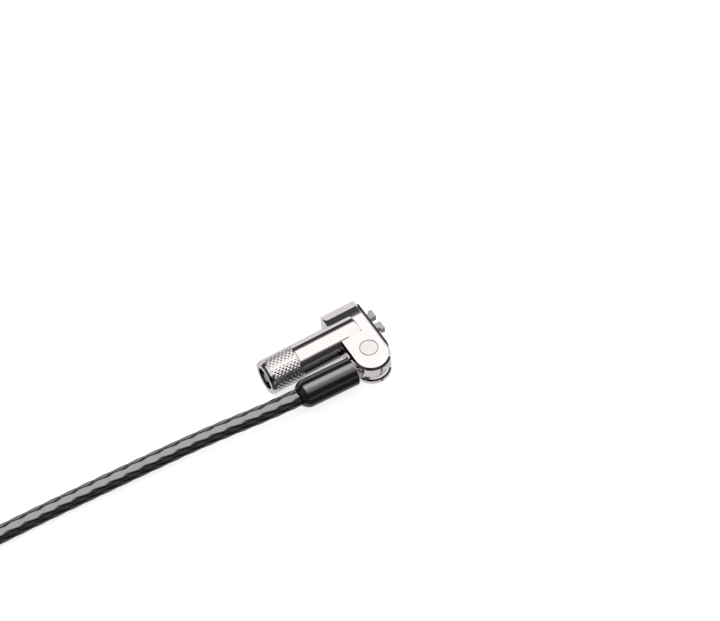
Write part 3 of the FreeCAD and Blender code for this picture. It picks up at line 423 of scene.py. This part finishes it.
HANK_RUN = 76.0
HANK_OFFSET = 21.9
HANK_STEP = 2.8
HANK_LAYER = 5.5
WAIST_DRAW = 3.0
TIE_WIDTH = 14.0
TIE_THICKNESS = 1.2
TIE_GAP = 0.4
WAIST_LIFT = TIE_THICKNESS + TIE_GAP
FERRULE_START = 4.0
FERRULE_LENGTH = 14.0
FERRULE_PITCH = 5.5
LOOP_RADIUS = 14.5
EYE_STEM = 30.0
EYE_BEND_RADIUS = 30.0
EYE_BEND = math.radians(32.0)

HANK_RIGHT = HANK_START.x - 2 * CABLE
HANK_LEFT = HANK_RIGHT - HANK_RUN
HANK_WAIST = 0.5 * (HANK_RIGHT + HANK_LEFT)
HANK_CENTRE = HANK_START.y + HANK_OFFSET
HANK_SIDES = 12
SIDES_PER_LAYER = 3
ARC_POINTS = 7
EYE_LEVEL = 4 * HANK_LAYER + WAIST_LIFT + CABLE
FERRULE_Y = HANK_CENTRE + HANK_OFFSET - HANK_STEP - 2 * LOOP_RADIUS + 0.5 * FERRULE_PITCH
FERRULE_AT = Vector((HANK_RIGHT - FERRULE_START - FERRULE_LENGTH, FERRULE_Y, EYE_LEVEL))


def side_offset(i):
    """How far from the hank's middle line its i-th straight side lies."""
    steps = abs((i + SIDES_PER_LAYER) % (2 * SIDES_PER_LAYER) - SIDES_PER_LAYER)
    return HANK_OFFSET - steps * HANK_STEP


def side_levels(i):
    """The heights at which the i-th side starts and ends."""
    low = CABLE + max(0, (i - 1) // SIDES_PER_LAYER) * HANK_LAYER
    high = CABLE + i // SIDES_PER_LAYER * HANK_LAYER
    if i == HANK_SIDES - 1:
        high = EYE_LEVEL
    return low, high


def waist_point(i):
    """Where the i-th side passes through the tie."""
    side = -1 if i % 2 == 0 else 1
    y = HANK_CENTRE + side * (side_offset(i) - WAIST_DRAW)
    return Vector((HANK_WAIST, y, 0.5 * sum(side_levels(i)) + WAIST_LIFT))


def arc_points(centre, radius, start, sweep, count):
    """Control points just outside a level arc, so that the spline follows the arc."""
    step = sweep / count
    reach = radius / math.cos(0.5 * step)
    angles = [start + (i + 0.5) * step for i in range(count)]
    return [centre + Vector((math.cos(a), math.sin(a), 0)) * reach for a in angles]


def cable_points():
    """The whole route: out of the sleeve, along the table, round the hank, into the ferrule."""
    points = [EXIT, EXIT + EXIT_DIRECTION * EXIT_STRAIGHT] + TABLE_POINTS
    for i in range(HANK_SIDES):
        side = -1 if i % 2 == 0 else 1
        near, far = (HANK_RIGHT, HANK_LEFT) if side < 0 else (HANK_LEFT, HANK_RIGHT)
        low, high = side_levels(i)
        y = HANK_CENTRE + side * side_offset(i)
        waist = waist_point(i)
        for eighths, at_y, at_z in (
            (1, y, low),
            (3, waist.y, waist.z),
            (5, waist.y, waist.z),
            (7, y, high),
        ):
            points.append(Vector((near + (far - near) * eighths / 8, at_y, at_z)))
        next_y = HANK_CENTRE - side * side_offset(i + 1)
        if i == HANK_SIDES - 1:
            next_y = FERRULE_AT.y - 0.5 * FERRULE_PITCH
        centre = Vector((far, 0.5 * (y + next_y), high))
        radius = 0.5 * abs(y - next_y)
        points += arc_points(centre, radius, side * math.pi / 2, -math.pi, ARC_POINTS)
    stem = Vector((HANK_RIGHT, next_y, high))
    return points + [stem - X_AXIS * (FERRULE_START + FERRULE_LENGTH)]


def eye_points():
    """Out of the ferrule along one strand, round the eye, back along the other."""
    half = 0.5 * FERRULE_PITCH
    drop = half + EYE_BEND_RADIUS * (1 - math.cos(EYE_BEND))
    taper = (LOOP_RADIUS * math.cos(EYE_BEND) - drop) / math.sin(EYE_BEND)
    shoulder = -EYE_STEM - EYE_BEND_RADIUS * math.sin(EYE_BEND) - taper * math.cos(EYE_BEND)
    centre = Vector((shoulder - LOOP_RADIUS * math.sin(EYE_BEND), 0, 0))
    corner = Vector((-EYE_STEM - EYE_BEND_RADIUS * math.tan(0.5 * EYE_BEND), -half, 0))
    start = -math.pi / 2 + EYE_BEND
    sweep = -(math.pi + 2 * EYE_BEND)
    loop = arc_points(centre, LOOP_RADIUS, start, sweep, ARC_POINTS)
    out = [Vector((0, -half, 0)), Vector((-0.5 * EYE_STEM, -half, 0)), corner]
    back = [Vector((p.x, -p.y, p.z)) for p in reversed(out)]
    back[-1].x = FERRULE_LENGTH
    return [FERRULE_AT + p for p in out + loop + back]


def smooth_line(name, points):
    """Points along the smooth spline that has the given control points, in metres."""
    curve = bpy.data.curves.new(name, "CURVE")
    curve.dimensions = "3D"
    curve.resolution_u = SPLINE_STEPS
    spline = curve.splines.new("NURBS")
    spline.points.add(len(points) - 1)
    for slot, point in zip(spline.points, points):
        slot.co = (*(point * MM), 1)
    spline.order_u = 3
    spline.use_endpoint_u = True
    spline.resolution_u = SPLINE_STEPS
    holder = bpy.data.objects.new(name, curve)
    line = bpy.data.meshes.new_from_object(holder)
    found = [vertex.co.copy() for vertex in line.vertices]
    bpy.data.objects.remove(holder)
    bpy.data.curves.remove(curve)
    bpy.data.meshes.remove(line)
    return found


def even_line(line):
    """The same line with its points evenly spaced."""
    kept = [line[0]]
    travelled = 0.0
    for before, after in zip(line, line[1:]):
        length = (after - before).length
        while travelled + length >= LINE_STEP * len(kept):
            share = (LINE_STEP * len(kept) - travelled) / length
            kept.append(before.lerp(after, share))
        travelled += length
    if (kept[-1] - line[-1]).length > 0.2 * LINE_STEP:
        kept.append(line[-1])
    else:
        kept[-1] = line[-1]
    return kept


LAY = 30.0 * MM
LOBE = 0.13 * MM


def rope_mesh(name, line):
    """A tube whose surface follows the strands that twist under its coat."""
    around = CABLE_SIDES
    tangents = []
    for i in range(len(line)):
        ahead = line[min(i + 1, len(line) - 1)] - line[max(i - 1, 0)]
        tangents.append(ahead.normalized())
    normal = Z_AXIS.cross(tangents[0]).normalized()
    rows = []
    travelled = [0.0]
    for before, after in zip(line, line[1:]):
        travelled.append(travelled[-1] + (after - before).length)
    for point, tangent, run in zip(line, tangents, travelled):
        normal = (normal - tangent * normal.dot(tangent)).normalized()
        side = tangent.cross(normal)
        twist = 2 * math.pi * run / LAY
        row = []
        for j in range(around):
            angle = 2 * math.pi * j / around
            lobe = math.cos(STRANDS * angle)
            radius = CABLE * MM - LOBE * (0.5 - 0.5 * lobe)
            turn = angle + twist
            row.append(point + (normal * math.cos(turn) + side * math.sin(turn)) * radius)
        rows.append(row)
    for end in (0, -1):
        centre = line[end]
        rim = rows[end]
        inner = [centre.lerp(p, 0.5) for p in rim]
        core = [centre.lerp(p, 0.001) for p in rim]
        if end == 0:
            rows = [core, inner] + rows
            travelled = [0.0, 0.0] + travelled
        else:
            rows = rows + [inner, core]
            travelled = travelled + [travelled[-1]] * 2
    return grid_mesh(name, rows, lambda i, j: (j / around, travelled[i]))


cable_line = even_line(smooth_line("cable_route", cable_points()))
cable = new_piece(
    "cable",
    rope_mesh("cable", cable_line),
    "cable_side",
    ROPE,
    ("cable_run", "cable_hank"),
)
eye_line = even_line(smooth_line("eye_route", eye_points()))
eye = new_piece(
    "anchor_eye",
    rope_mesh("anchor_eye", eye_line),
    "cable_side",
    ROPE,
    ("cable_eye",),
)


def tie_corners():
    """The strands' middles round which the tie is drawn tight, as (y, z)."""
    last = HANK_SIDES - 1
    half = 0.5 * FERRULE_PITCH
    legs = [Vector((0, FERRULE_AT.y + s * half, EYE_LEVEL)) for s in (1, -1)]
    outer = [waist_point(i) for i in (0, 1, last, last - 1, 6)]
    return [(p.y, p.z) for p in outer + legs]


def tie_outline(reach, angle):
    """The tie's outline at one angle and distance from the strands' middles."""
    across, up = math.cos(angle), math.sin(angle)
    y, z = max(tie_corners(), key=lambda c: c[0] * across + c[1] * up)
    return y + reach * across, z + reach * up


STRAP_STEPS = 180
STRAP_EDGE = 0.35
SELVEDGE = 1.2
SELVEDGE_SLOPE = 0.3
SELVEDGE_RISE = 0.08


def strap_mesh():
    """A strap with rounded edges and raised selvedges, closed round the hank."""
    half = 0.5 * TIE_WIDTH
    inner = CABLE + TIE_GAP
    flank = [
        (half - STRAP_EDGE, 0.0),
        (half, STRAP_EDGE),
        (half, TIE_THICKNESS - STRAP_EDGE),
        (half - STRAP_EDGE, TIE_THICKNESS),
        (half - SELVEDGE, TIE_THICKNESS),
        (half - SELVEDGE - SELVEDGE_SLOPE, TIE_THICKNESS - SELVEDGE_RISE),
    ]
    section = flank + [(-across, depth) for across, depth in reversed(flank)]
    rows = []
    for i in range(STRAP_STEPS + 1):
        angle = 2 * math.pi * i / STRAP_STEPS
        row = []
        for across, depth in section:
            y, z = tie_outline(inner + depth, angle)
            row.append(Vector((HANK_WAIST + across, y, z)) * MM)
        rows.append(row)
    return grid_mesh("hank_strap", rows)


TAB_START = math.radians(35)
TAB_END = math.radians(175)
TAB_STEPS = 90
TAB_HALF = 0.5 * TIE_WIDTH - 0.4
TAB_LOW = CABLE + TIE_GAP + TIE_THICKNESS - 0.1
TAB_SECTION = ((-1, 0.0), (1, 0.0), (1, 0.9), (0.86, 1.15), (-0.86, 1.15), (-1, 0.9))


def strap_tab_mesh():
    """The strap's free end, lapped over the strap and rounded and thinned at its ends."""
    rows = []
    for i in range(TAB_STEPS + 1):
        angle = TAB_START + (TAB_END - TAB_START) * i / TAB_STEPS
        end = min(i, TAB_STEPS - i)
        narrow = math.sqrt(min(1.0, 0.15 + end / 8))
        row = []
        for across, depth in TAB_SECTION:
            y, z = tie_outline(TAB_LOW + depth * min(1.0, 0.4 + end / 5), angle)
            row.append(Vector((HANK_WAIST + across * TAB_HALF * narrow, y, z)) * MM)
        rows.append(row)
    return grid_mesh("strap_end", rows)


strap = new_piece("hank_strap", strap_mesh(), "cable_side", STRAP, ("cable_tie",))
strap_end = new_piece("strap_end", strap_tab_mesh(), "cable_side", STRAP)

# Diamond-knurled grip

KEY_FACE = -18.25
GRIP_START = KEY_FACE + 1.22
GRIP_END = KEY_FACE + 10.0
GRIP_RADIUS = 5.05
GRIP_BORE = 4.42
BARREL = Vector((0, 4.375, 5.05))
KNURL_STARTS = 26
KNURL_POINTS = 12
KNURL_DEPTH = 0.14
GRIP_EDGE = 0.3
FRONT_EDGE = ((0.0, 0.28), (0.12, 0.1), (GRIP_EDGE, 0.02))
REAR_EDGE = ((GRIP_EDGE, 0.02), (0.1, 0.1), (0.0, 0.2))


def ridge(value):
    """0 in a groove and 1 on the ridge between two grooves."""
    share = value - math.floor(value)
    return min(1.0, 2.4 * min(share, 1 - share))


def knurl_mesh():
    """A sleeve whose outside is cut by two sets of crossing grooves."""
    around = KNURL_STARTS * KNURL_POINTS
    lead = 2 * math.pi * GRIP_RADIUS
    steps = int((GRIP_END - GRIP_START) / (lead / around))
    cut_length = GRIP_END - GRIP_START - 2 * GRIP_EDGE
    profile = [(GRIP_START, GRIP_BORE, False)]
    profile += [(GRIP_START + x, GRIP_RADIUS - drop, False) for x, drop in FRONT_EDGE]
    for i in range(1, steps):
        profile.append((GRIP_START + GRIP_EDGE + cut_length * i / steps, GRIP_RADIUS, True))
    profile += [(GRIP_END - x, GRIP_RADIUS - drop, False) for x, drop in REAR_EDGE]
    profile.append((GRIP_END, GRIP_BORE, False))
    rows = []
    for x, radius, cut in profile:
        row = []
        for j in range(around):
            angle = 2 * math.pi * j / around
            depth = 0.0
            if cut:
                turn = KNURL_STARTS * j / around
                slide = KNURL_STARTS * x / lead
                depth = KNURL_DEPTH * (1 - min(ridge(turn + slide), ridge(turn - slide)))
            reach = radius - depth
            spot = BARREL + Vector((x, math.cos(angle) * reach, math.sin(angle) * reach))
            row.append(spot * MM)
        rows.append(row)
    return grid_mesh("grip_knurl", rows)


new_piece("grip_knurl", knurl_mesh(), "lock_body", KNURL, ("knurled_grip",))

# Floor, world and lights

FLOOR_REACH = 3
FLOOR_CORNERS = [(x * FLOOR_REACH, y * FLOOR_REACH, 0) for x, y in ((-1, -1), (1, -1), (1, 1), (-1, 1))]

floor_mesh = bpy.data.meshes.new("floor")
floor_mesh.from_pydata(FLOOR_CORNERS, [], [(0, 1, 2, 3)])
floor = bpy.data.objects.new("floor", floor_mesh)
bpy.context.scene.collection.objects.link(floor)
floor_look, floor_nodes = new_material("floor")
finish_material(
    floor_nodes,
    {
        "Base Color": (0.55, 0.55, 0.55, 1),
        "Roughness": 0.7,
        "Emission Color": (1, 1, 1, 1),
        "Emission Strength": 0.72,
    },
)
floor_mesh.materials.append(floor_look)
floor.visible_glossy = False

# Reflections come from bands round the X axis: an overhead softbox, dark flags
# beside it, thin strip lights in front, and the pale table all round. The stops
# run once round, from the direction -Y through -Z, +Y and +Z.
SOFTBOX = 1.12
BANDS = [
    (0.000, 0.30),
    (0.020, 0.30),
    (0.030, 0.02),
    (0.138, 0.03),
    (0.150, 0.62),
    (0.390, 0.66),
    (0.553, 0.78),
    (0.560, 0.04),
    (0.605, 0.03),
    (0.636, 0.16),
    (0.650, 1.0),
    (0.848, 1.0),
    (0.860, 0.30),
    (0.888, 0.04),
    (0.966, 0.03),
    (0.974, 0.36),
    (0.996, 0.36),
]
SOFTBOX_SHARE = [(0.638, 0.0), (0.649, 1.0), (0.846, 1.0), (0.856, 0.0)]
STRIP_SHARE = [(0.140, 0.0), (0.150, 1.0), (0.172, 1.0), (0.182, 0.0)]
STRIP_X = 0.27
FILL = 0.9


def make_world():
    world = bpy.data.worlds.new("studio")
    bpy.context.scene.world = world
    world.use_nodes = True
    nodes = Nodes(world.node_tree)
    direction = nodes.add("ShaderNodeTexCoord").outputs["Generated"]
    split = nodes.add("ShaderNodeSeparateXYZ", {"Vector": direction})
    angle = nodes.math("ARCTAN2", split.outputs["Z"], split.outputs["Y"])
    share = nodes.between(angle, 0.0, 1.0, -math.pi, math.pi)
    reach = nodes.between(split.outputs["X"], 0.05, 1.0, -0.50, -0.36)
    below = nodes.between(split.outputs["Z"], 1.0, 0.0, -0.15, 0.0)
    shade = nodes.math("MAXIMUM", reach, below)
    aside = nodes.math("ABSOLUTE", nodes.math("SUBTRACT", split.outputs["X"], STRIP_X))
    strip = nodes.ramp(share, STRIP_SHARE)
    strip = nodes.math("MULTIPLY", strip, nodes.between(aside, 0.75, 0.0, 0.03, 0.09))
    shade = nodes.math("MULTIPLY", shade, nodes.math("SUBTRACT", 1.0, strip))
    lamp = nodes.ramp(share, SOFTBOX_SHARE)
    bands = nodes.mix(lamp, nodes.ramp(share, BANDS), (SOFTBOX,) * 3 + (1,))
    bands = nodes.mix(1.0, bands, shade, "MULTIPLY")
    mirror = nodes.add("ShaderNodeBackground", {"Color": bands, "Strength": 1.0})
    fill = nodes.add("ShaderNodeBackground", {"Color": (1, 1, 1, 1), "Strength": FILL})
    path = nodes.add("ShaderNodeLightPath")
    mixed = nodes.add("ShaderNodeMixShader", {0: path.outputs["Is Glossy Ray"]})
    nodes.tree.links.new(fill.outputs[0], mixed.inputs[1])
    nodes.tree.links.new(mirror.outputs[0], mixed.inputs[2])
    out = nodes.add("ShaderNodeOutputWorld")
    nodes.tree.links.new(mixed.outputs[0], out.inputs["Surface"])


make_world()


KEY_PLACE = Vector((-0.35, 0.35, 0.9))

light = bpy.data.lights.new("key", "AREA")
light.shape = "DISK"
light.size = 0.7
light.energy = 3.0
holder = bpy.data.objects.new("key", light)
bpy.context.scene.collection.objects.link(holder)
holder.location = KEY_PLACE
holder.rotation_mode = "QUATERNION"
holder.rotation_quaternion = (-KEY_PLACE).to_track_quat("-Z", "Y")
holder.visible_glossy = False

bpy.context.scene.view_settings.view_transform = "Standard"
